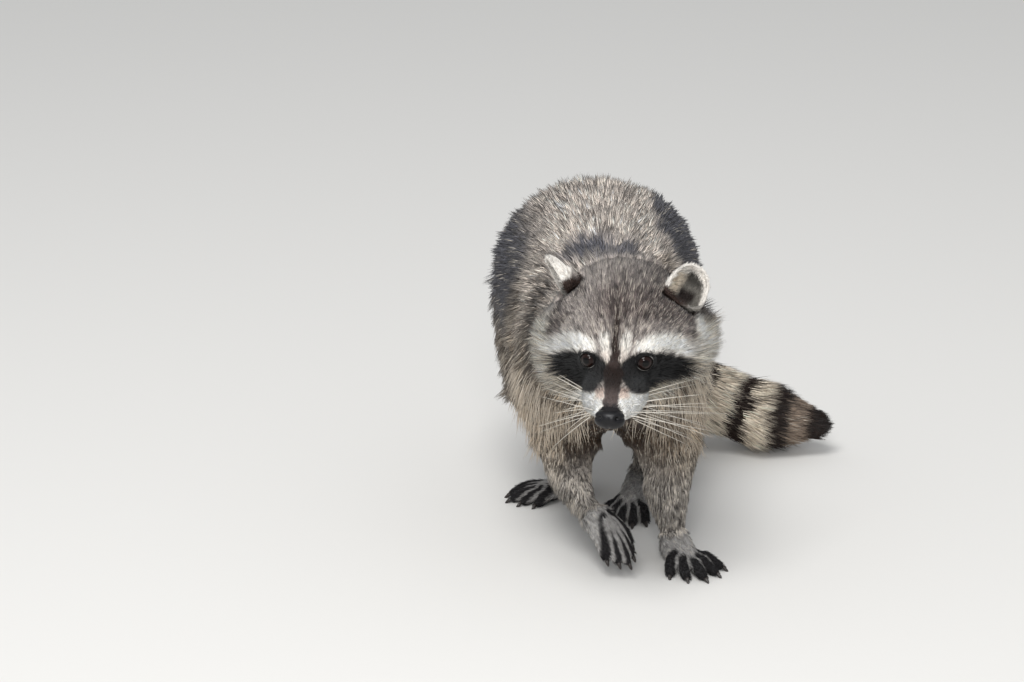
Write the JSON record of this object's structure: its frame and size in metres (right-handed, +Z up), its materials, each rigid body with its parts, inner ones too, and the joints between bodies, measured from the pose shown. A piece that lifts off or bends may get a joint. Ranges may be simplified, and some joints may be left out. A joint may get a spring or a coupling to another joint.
{
  "type": "raccoon",
  "caption": "Life-size still raccoon in mid-stride with lowered head, arched back, one lifted forepaw and a ringed tail curled round to one side on the floor.",
  "frame": {"origin": "on the floor under the middle of the animal's bounding box", "axes": "+Z up from the floor, +X towards the animal's own left, -Y the way it walks, so +Y runs back towards the rump"},
  "size_m": [0.3406, 0.4878, 0.3098],
  "materials": {
    "grey_coat": "long grizzled grey-brown fur",
    "pale_coat": "short cream fur",
    "band_coat": "tan fur of the light tail rings",
    "dark_coat": "near-black brown fur of the dark tail rings",
    "paw_coat": "short dark grey fur",
    "nose": "moist black nose leather",
    "eye": "wet dark brown eye",
    "claw": "dark horn"
  },
  "bodies": {
    "root": {"chest": "grey_coat", "ear_left": "pale_coat", "ear_right": "pale_coat", "eye_left": "eye", "eye_right": "eye", "fore_left_claw_1": "claw", "fore_left_claw_2": "claw", "fore_left_claw_3": "claw", "fore_left_claw_4": "claw", "fore_left_claw_5": "claw", "fore_left_lower": "grey_coat", "fore_left_paw": "paw_coat", "fore_left_upper": "grey_coat", "fore_right_claw_1": "claw", "fore_right_claw_2": "claw", "fore_right_claw_3": "claw", "fore_right_claw_4": "claw", "fore_right_claw_5": "claw", "fore_right_lower": "grey_coat", "fore_right_paw": "paw_coat", "fore_right_upper": "grey_coat", "head": "grey_coat", "hind_left_claw_1": "claw", "hind_left_claw_2": "claw", "hind_left_claw_3": "claw", "hind_left_claw_4": "claw", "hind_left_claw_5": "claw", "hind_left_lower": "grey_coat", "hind_left_paw": "paw_coat", "hind_left_upper": "grey_coat", "hind_right_claw_1": "claw", "hind_right_claw_2": "claw", "hind_right_claw_3": "claw", "hind_right_claw_4": "claw", "hind_right_claw_5": "claw", "hind_right_lower": "grey_coat", "hind_right_paw": "paw_coat", "hind_right_upper": "grey_coat", "loin": "grey_coat", "lower_jaw": "pale_coat", "muzzle": "pale_coat", "neck": "grey_coat", "nose": "nose", "rump": "grey_coat", "tail_1": "grey_coat", "tail_2": "band_coat", "tail_3": "dark_coat", "tail_4": "band_coat", "tail_5": "dark_coat"}
  },
  "joints": []
}
